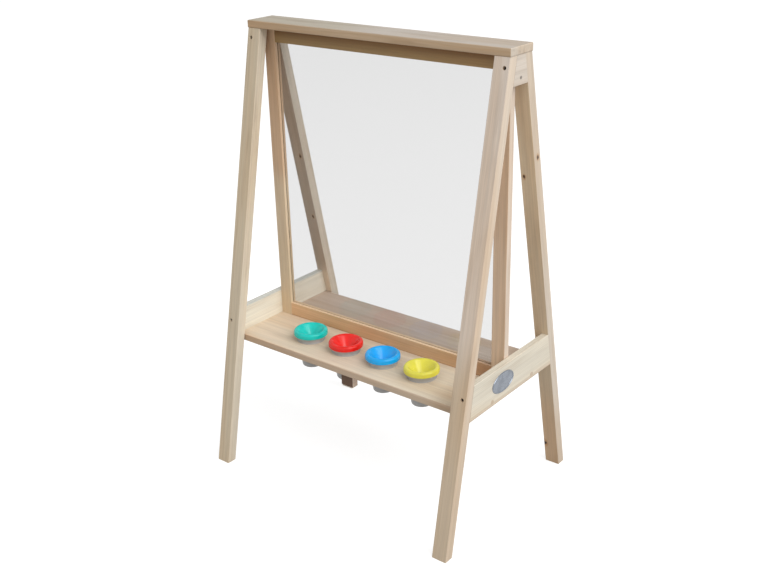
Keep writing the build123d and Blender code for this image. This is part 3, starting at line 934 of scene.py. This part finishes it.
def cup_section(pots):
    """A tapered cup: a bead hangs it on the shelf, and a wider collar at its mouth carries the lid."""
    wall = pots.cup_wall
    slope = (pots.neck_radius - pots.foot_radius) / pots.cup_depth
    over_bead = pots.neck_radius + slope * pots.bead_height
    under_collar = pots.neck_radius + slope * pots.collar_bottom
    collar_floor = pots.collar_bottom + wall
    collar_inside = pots.collar_radius - wall
    mouth_inside = pots.neck_radius + slope * collar_floor - wall
    foot_inside = pots.foot_radius + slope * wall - wall
    return (
        Corner(0, -pots.cup_depth),
        Corner(pots.foot_radius, -pots.cup_depth, pots.foot_round),
        Corner(pots.neck_radius, 0, CRISP),
        Corner(pots.bead_radius, 0, THIN_EDGE),
        Corner(pots.bead_radius, pots.bead_height, BEAD_EDGE),
        Corner(over_bead, pots.bead_height, COLLAR_EDGE),
        Corner(under_collar, pots.collar_bottom, INNER_BEND),
        Corner(pots.collar_radius, pots.collar_bottom, COLLAR_EDGE),
        Corner(pots.collar_radius, pots.collar_height, COLLAR_EDGE),
        Corner(collar_inside, pots.collar_height, COLLAR_EDGE),
        Corner(collar_inside, collar_floor, COLLAR_EDGE),
        Corner(mouth_inside, collar_floor, BEAD_EDGE),
        Corner(foot_inside, wall - pots.cup_depth, pots.foot_round - wall),
        Corner(0, wall - pots.cup_depth),
    )


def lid_section(pots):
    """A no-spill lid: skirt, rolled rim, funnel-shaped well and drip tube."""
    wall = pots.lid_wall
    seat_inside = pots.collar_radius - pots.cup_wall
    skirt_inside = pots.collar_radius + pots.lid_fit
    tube_outside = pots.tube_radius + wall
    rim_middle = (pots.lid_radius + pots.well_radius) / 2 - wall / 2
    return (
        Corner(pots.lid_radius, pots.skirt_bottom, THIN_EDGE),
        Corner(pots.lid_radius, pots.rim_top, pots.rim_round),
        Corner(pots.well_radius, pots.rim_top, pots.rim_round),
        Corner(pots.tube_radius, pots.well_floor, TUBE_MOUTH),
        Corner(pots.tube_radius, -pots.tube_length, THIN_EDGE),
        Corner(tube_outside, -pots.tube_length, THIN_EDGE),
        Corner(tube_outside, pots.well_floor - wall, INNER_BEND),
        Corner(pots.well_radius - wall / 2, pots.rim_top - HOLLOW_BY_WELL * wall, INNER_BEND),
        Corner(rim_middle, pots.rim_top - HOLLOW_MIDWAY * wall, INNER_BEND),
        Corner(seat_inside, pots.rim_top - HOLLOW_BY_SKIRT * wall, THIN_EDGE),
        Corner(seat_inside, pots.collar_height),
        Corner(skirt_inside, pots.collar_height, CRISP),
        Corner(skirt_inside, pots.skirt_bottom, CRISP),
    )


# Rings of screws, plugs and the plate

RING_SIDES = 48
RING_ANGLES = [2 * pi * step / RING_SIDES for step in range(RING_SIDES)]

# Small lengths on the fasteners, in metres
UNDER_FLUSH = 0.00005
CUT_TIP = 0.001
HEAD_BEVEL = 0.0005
SOCKET_BEVEL = 0.0002
DRILLED_POINT = 0.0004
SHARP_TIP = 0.005
SINK_EDGE = 0.0002
PLUG_BEVEL = 0.0006
PLATE_SUNK = 0.0003

# Shares of a shank's radius at the tip, and of a hex socket's radius at its mouth and its foot
BLUNT_TIP, FINE_TIP = 0.7, 1 / 6
SOCKET_MOUTH, SOCKET_FOOT = 1.12, 1 / 3

# A cross slot's arms and half widths as shares of the head's radius, and its depth as one of its height
MOUTH_ARM, MOUTH_HALF_WIDTH = 0.62, 0.15
FLOOR_ARM, FLOOR_HALF_WIDTH = 0.40, 0.09
SLOT_DEPTH = 0.6

# The plate's rings: insets in widths of its rim, and lifts in thicknesses of the plate
PLATE_OUTER_RIM = ((0, 0.2), (0.07, 0.5), (0.2, 0.8), (0.35, 0.95), (0.5, 1))
PLATE_INNER_RIM = ((0.65, 0.95), (0.8, 0.8), (0.95, 0.5))
PLATE_FIELD = ((1.1, 0.4), (2.5, 0.5), (4.5, 0.56))


def ring(reach, height):
    """One ring of a fastener: reach gives its radius at an angle."""
    return [(reach(angle) * cos(angle), reach(angle) * sin(angle), height) for angle in RING_ANGLES]


def circle(radius):
    """The reach of a round ring."""
    return lambda angle: radius


def hexagon(corner):
    """The reach of a six-sided ring."""
    flat = corner * cos(pi / 6)
    return lambda angle: flat / cos((angle + pi / 6) % (pi / 3) - pi / 6)


def cross(arm, half_width):
    """The reach of a cross-shaped ring."""
    def reach(angle):
        off_arm = abs((angle + pi / 4) % (pi / 2) - pi / 4)
        return min(arm, half_width / sin(off_arm)) if off_arm else arm
    return reach


def stacked(name, rings):
    """A closed mesh through rings that go up its outer side first, capped at both ends."""
    sides = len(rings[0])
    points = [point for one in rings for point in one]
    faces = []
    for lower in range(0, len(points) - sides, sides):
        for step in range(sides):
            on = (step + 1) % sides
            faces.append((lower + step, lower + on, lower + sides + on, lower + sides + step))
    last = len(points) - sides
    for start, outwards in ((0, -1), (last, 1)):
        hub = len(points)
        points.append(tuple(sum(values) / sides for values in zip(*points[start:start + sides])))
        for step in range(sides):
            edge = (start + step, start + (step + 1) % sides)
            faces.append((*edge[::outwards], hub))
    mesh = bpy.data.meshes.new(name)
    mesh.from_pydata(points, [], faces)
    mesh.validate()
    return mesh


def leg_screw(hardware, length):
    """A cap screw with a hex socket, at the foot of its counterbore; the timber's face is at Z = 0."""
    seat = -hardware.counterbore_depth
    tip = seat - length
    top = seat + hardware.leg_head_height
    socket_floor = top - hardware.leg_head_height / 2
    shank, head, hexed = hardware.leg_screw_radius, hardware.leg_head_radius, hardware.hex_radius
    return stacked("leg screw", [
        ring(circle(shank * BLUNT_TIP), tip),
        ring(circle(shank), tip + CUT_TIP),
        ring(circle(shank), seat),
        ring(circle(head), seat),
        ring(circle(head), top - HEAD_BEVEL),
        ring(circle(head - HEAD_BEVEL), top),
        ring(hexagon(hexed * SOCKET_MOUTH), top),
        ring(hexagon(hexed), top - SOCKET_BEVEL),
        ring(hexagon(hexed), socket_floor),
        ring(circle(hexed * SOCKET_FOOT), socket_floor - DRILLED_POINT),
    ])


def wood_screw(hardware):
    """A countersunk screw with a cross slot, flush with the timber's face at Z = 0."""
    shank, head = hardware.wood_screw_radius, hardware.wood_head_radius
    tip = -hardware.wood_screw_length
    return stacked("wood screw", [
        ring(circle(shank * FINE_TIP), tip),
        ring(circle(shank), tip + SHARP_TIP),
        ring(circle(shank), -hardware.wood_head_height),
        ring(circle(head), -SINK_EDGE),
        ring(circle(head - SINK_EDGE), -UNDER_FLUSH),
        ring(cross(head * MOUTH_ARM, head * MOUTH_HALF_WIDTH), -UNDER_FLUSH),
        ring(cross(head * FLOOR_ARM, head * FLOOR_HALF_WIDTH), -hardware.wood_head_height * SLOT_DEPTH),
    ])


def screw_plug(timber):
    """A round plug, just under flush, with a finely bevelled edge."""
    radius = timber.plug_radius
    return stacked("screw plug", [
        ring(circle(radius), -timber.plug_depth),
        ring(circle(radius), -2 * PLUG_BEVEL),
        ring(circle(radius - PLUG_BEVEL), -UNDER_FLUSH),
    ])


def oval_ring(hardware, inset, lift):
    """One ring of the oval plate on the right end board, at an inset from its edge."""
    middle_y, middle_z = hardware.plate_middle
    reach_y = hardware.plate_length / 2 - inset
    reach_z = hardware.plate_height / 2 - inset
    face = OUTER_FACE + lift
    return [
        (face, middle_y + reach_y * cos(angle), middle_z + reach_z * sin(angle)) for angle in RING_ANGLES
    ]


def oval_plate(hardware):
    """A pressed oval plate: a rounded raised rim round a faintly crowned field."""
    thick, rim = hardware.plate_thickness, hardware.plate_rim
    rings = [oval_ring(hardware, 0, -PLATE_SUNK)]
    for inset, lift in PLATE_OUTER_RIM + PLATE_INNER_RIM + PLATE_FIELD:
        rings.append(oval_ring(hardware, rim * inset, thick * lift))
    return stacked("oval plate", rings)


# Pieces and their operators

def plain_piece(name, mesh, material):
    """A mesh object with one material."""
    piece = bpy.data.objects.new(name, mesh)
    mesh.materials.append(material)
    bpy.context.scene.collection.objects.link(piece)
    return piece


def pot_middle(colour):
    """Where a pot's axis meets the top of the shelf."""
    middle = middle_of(f"{colour}_cup")
    return Vector((middle.x, middle.y, SHELF_TOP))


def add_turned(name, node, section, material):
    """A smooth turned piece in place of a CAD node, on that node's own body."""
    piece = grown(name, section, turned_piece, {
        "Segments": bpy.context.scene.easel_pots.segments,
        "Foot": pot_middle(node.split("_")[0]),
        "Crease": CREASE,
        "Finish": material,
    })
    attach(piece, node)
    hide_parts(node)


def add_fasteners(name, node, fastener, values):
    """A set of like fasteners in place of a CAD node."""
    piece = grown(name, fastener, fastener_set, values)
    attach(piece, "frame")
    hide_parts(node)


class EASEL_OT_legs(bpy.types.Operator):
    """Oil the four leaning legs"""

    bl_idname = "easel.legs"
    bl_label = "Legs"

    def execute(self, context):
        dress_timbers(LEG_TIMBERS)
        return {"FINISHED"}


class EASEL_OT_boards(bpy.types.Operator):
    """Oil the cap, the top blocks, the end boards and the shelf"""

    bl_idname = "easel.boards"
    bl_label = "Boards"

    def execute(self, context):
        dress_timbers(BOARD_TIMBERS)
        return {"FINISHED"}


class EASEL_OT_window_frame(bpy.types.Operator):
    """Oil the stiles and rails round the pane, and the dowels"""

    bl_idname = "easel.window_frame"
    bl_label = "Window Frame"

    def execute(self, context):
        dress_timbers(WINDOW_TIMBERS)
        dress_timbers(DOWEL_TIMBERS)
        return {"FINISHED"}


class EASEL_OT_pane(bpy.types.Operator):
    """Clear the pane"""

    bl_idname = "easel.pane"
    bl_label = "Pane"

    def execute(self, context):
        dress("clear_pane", pane_material())
        return {"FINISHED"}


class EASEL_OT_cups(bpy.types.Operator):
    """Turn the four milky paint cups"""

    bl_idname = "easel.cups"
    bl_label = "Cups"

    def execute(self, context):
        pots = context.scene.easel_pots
        plastic = plastic_material(
            "milky cup plastic", pots.cup_colour, pots.cup_roughness, pots.cup_shine, pots.cup_milkiness
        )
        section = section_mesh("cup section", cup_section(pots), closed=False)
        for colour in POT_COLOURS:
            add_turned(f"{colour}_paint_cup", f"{colour}_cup", section, plastic)
        return {"FINISHED"}


class EASEL_OT_lids(bpy.types.Operator):
    """Turn the four coloured no-spill lids"""

    bl_idname = "easel.lids"
    bl_label = "Lids"

    def execute(self, context):
        pots = context.scene.easel_pots
        section = section_mesh("lid section", lid_section(pots), closed=True)
        for colour in POT_COLOURS:
            plastic = plastic_material(
                f"{colour} lid plastic", getattr(pots, colour), pots.lid_roughness, pots.lid_shine
            )
            add_turned(f"{colour}_no_spill_lid", f"{colour}_lid", section, plastic)
        return {"FINISHED"}


class EASEL_OT_leg_screws(bpy.types.Operator):
    """Seat the black screws in the legs' counterbores"""

    bl_idname = "easel.leg_screws"
    bl_label = "Leg Screws"

    def execute(self, context):
        hardware = context.scene.easel_hardware
        steel = metal_material("black screw steel", "leg_screw", LEG_SCREW_BRUSH)
        for tier in ("upper", "lower"):
            height = getattr(hardware, f"{tier}_screw_height")
            screw = leg_screw(hardware, getattr(hardware, f"{tier}_screw_length"))
            seat_y = HALF_FOOT_SPREAD - height * tan(SPLAY)
            add_fasteners(f"{tier}_hex_screws", f"{tier}_leg_screws", screw, {
                "Rows": 2,
                "Seat": (OUTER_FACE - hardware.leg_screw_inset, seat_y, height),
                "Lean": pi / 2 - SPLAY,
                "Seed": 3,
                "Finish": steel,
            })
        return {"FINISHED"}


class EASEL_OT_wood_fixings(bpy.types.Operator):
    """Set the countersunk screws and the plugs over the shelf's screws"""

    bl_idname = "easel.wood_fixings"
    bl_label = "Wood Screws and Plugs"

    def execute(self, context):
        hardware, timber = context.scene.easel_hardware, context.scene.easel_timber
        zinc = metal_material("zinc screw steel", "wood_screw", WOOD_SCREW_BRUSH)
        dress("rail_screws", zinc)
        dress("shelf_screws", zinc)

        add_fasteners("block_cross_screws", "block_screws", wood_screw(hardware), {
            "Rows": 1,
            "Seat": (OUTER_FACE, 0, middle_of("block_screws").z),
            "Turn": pi / 2,
            "Seed": 5,
            "Finish": zinc,
        })
        plug_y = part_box("screw_plugs")[1].y - timber.plug_radius
        add_fasteners("shelf_screw_plugs", "screw_plugs", screw_plug(timber), {
            "Rows": 2,
            "Seat": (OUTER_FACE, plug_y, middle_of("screw_plugs").z),
            "Turn": pi / 2,
            "Seed": 7,
            "Finish": timber_material("screw_plugs", PLUG_TIMBER),
        })
        return {"FINISHED"}


class EASEL_OT_plate(bpy.types.Operator):
    """Press the blank oval plate on to the right end board"""

    bl_idname = "easel.plate"
    bl_label = "Plate"

    def execute(self, context):
        pewter = metal_material("plate pewter", "plate", PLATE_BRUSH)
        mesh = oval_plate(context.scene.easel_hardware)
        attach(plain_piece("blank_oval_plate", mesh, pewter), "frame")
        return {"FINISHED"}


# Stage

SENSOR_WIDTH = 36


def seen(graph):
    """1 for what the eye sees, also in a reflection or through the pane, and 0 for light on the object."""
    path = graph.add("ShaderNodeLightPath").outputs
    some = graph.maths("ADD", path["Is Camera Ray"], path["Is Glossy Ray"])
    return graph.maths("MINIMUM", graph.maths("ADD", some, path["Is Transmission Ray"]), 1)


def add_floor(stage):
    """A plain pale floor that looks white, apart from the easel's shadow."""
    half = stage.floor_size / 2
    corners = [(-half, -half, 0), (half, -half, 0), (half, half, 0), (-half, half, 0)]
    mesh = bpy.data.meshes.new("floor")
    mesh.from_pydata(corners, [], [(0, 1, 2, 3)])
    material = bpy.data.materials.new("white floor")
    material.use_nodes = True
    material.node_tree.nodes.clear()
    graph = Graph(material.node_tree)
    shade = stage.floor_shade
    diffuse = graph.out("ShaderNodeBsdfDiffuse", {"Color": (shade, shade, shade, 1)})
    glow = graph.maths("MULTIPLY", seen(graph), stage.floor_glow)
    emission = graph.out("ShaderNodeEmission", {"Strength": glow})
    both = graph.out("ShaderNodeAddShader", {0: diffuse, 1: emission})
    graph.add("ShaderNodeOutputMaterial", {"Surface": both})
    plain_piece("floor", mesh, material)


def add_sky(stage):
    """An even white surround."""
    world = bpy.data.worlds.new("white studio")
    world.use_nodes = True
    graph = Graph(world.node_tree)
    strength = graph.maths("MULTIPLY_ADD", seen(graph), 1 - stage.sky, stage.sky)
    background = world.node_tree.nodes["Background"]
    background.inputs["Color"].default_value = (1, 1, 1, 1)
    graph.feed(background.inputs["Strength"], strength)
    bpy.context.scene.world = world


def towards(azimuth, elevation):
    """A direction: azimuth turns from -Y towards +X."""
    return Vector((sin(azimuth) * cos(elevation), -cos(azimuth) * cos(elevation), sin(elevation)))


def add_key(stage):
    """A large soft lamp on the easel's right."""
    lamp = bpy.data.lights.new("key", "AREA")
    lamp.energy = stage.key_power
    lamp.size = stage.key_size
    key = bpy.data.objects.new("key", lamp)
    direction = towards(pi / 2 + stage.key_azimuth, stage.key_elevation)
    key.location = Vector((0, 0, stage.target_height)) + direction * stage.key_distance
    key.rotation_euler = direction.to_track_quat("Z", "Y").to_euler()
    bpy.context.scene.collection.objects.link(key)


def add_camera(stage):
    """The camera, at the photograph's place."""
    direction = towards(stage.azimuth, stage.elevation)
    level_right = Vector(UP).cross(direction).normalized()
    level_up = direction.cross(level_right)
    right = level_right * cos(stage.roll) + level_up * sin(stage.roll)
    up = level_up * cos(stage.roll) - level_right * sin(stage.roll)
    target = Vector((0, 0, stage.target_height)) + right * stage.target_shift

    lens = bpy.data.cameras.new("camera")
    lens.sensor_fit = "HORIZONTAL"
    lens.sensor_width = SENSOR_WIDTH
    lens.lens = stage.lens
    camera = bpy.data.objects.new("camera", lens)
    turn = Matrix((right, up, direction)).transposed().to_4x4()
    camera.matrix_world = Matrix.Translation(target + direction * stage.distance) @ turn
    bpy.context.scene.collection.objects.link(camera)
    bpy.context.scene.camera = camera


class EASEL_OT_stage(bpy.types.Operator):
    """Set up the floor, the light and the camera"""

    bl_idname = "easel.stage"
    bl_label = "Stage"

    def execute(self, context):
        stage = context.scene.easel_stage
        add_floor(stage)
        add_sky(stage)
        add_key(stage)
        add_camera(stage)
        context.scene.view_settings.view_transform = "Standard"
        return {"FINISHED"}


# Registration

OPERATORS = (
    EASEL_OT_legs,
    EASEL_OT_boards,
    EASEL_OT_window_frame,
    EASEL_OT_pane,
    EASEL_OT_cups,
    EASEL_OT_lids,
    EASEL_OT_leg_screws,
    EASEL_OT_wood_fixings,
    EASEL_OT_plate,
    EASEL_OT_stage,
)
SETTINGS = {
    "easel_timber": EaselTimberSettings,
    "easel_pane": EaselPaneSettings,
    "easel_pots": EaselPotSettings,
    "easel_hardware": EaselHardwareSettings,
    "easel_stage": EaselStageSettings,
}


class EASEL_PT_pieces(bpy.types.Panel):
    """The easel's pieces and the sizes and colours behind them"""

    bl_idname = "EASEL_PT_pieces"
    bl_label = "Window Easel"
    bl_space_type = "VIEW_3D"
    bl_region_type = "UI"
    bl_category = "Easel"

    def draw(self, context):
        for operator in OPERATORS:
            self.layout.operator(operator.bl_idname)
        for name, settings in SETTINGS.items():
            box = self.layout.box()
            for prop in settings.__annotations__:
                box.prop(getattr(context.scene, name), prop)


def register():
    """Registers the classes, and puts the settings on the scene."""
    for cls in (*SETTINGS.values(), *OPERATORS, EASEL_PT_pieces):
        bpy.utils.register_class(cls)
    for name, settings in SETTINGS.items():
        setattr(bpy.types.Scene, name, PointerProperty(type=settings))


def unregister():
    """Takes the settings off the scene and unregisters the classes."""
    for name in SETTINGS:
        delattr(bpy.types.Scene, name)
    for cls in (EASEL_PT_pieces, *reversed(OPERATORS), *reversed(SETTINGS.values())):
        bpy.utils.unregister_class(cls)


def main():
    """Builds every piece in order."""
    register()
    bpy.ops.easel.legs()
    bpy.ops.easel.boards()
    bpy.ops.easel.window_frame()
    bpy.ops.easel.pane()
    bpy.ops.easel.cups()
    bpy.ops.easel.lids()
    bpy.ops.easel.leg_screws()
    bpy.ops.easel.wood_fixings()
    bpy.ops.easel.plate()
    bpy.ops.easel.stage()


if __name__ == "__main__":
    main()
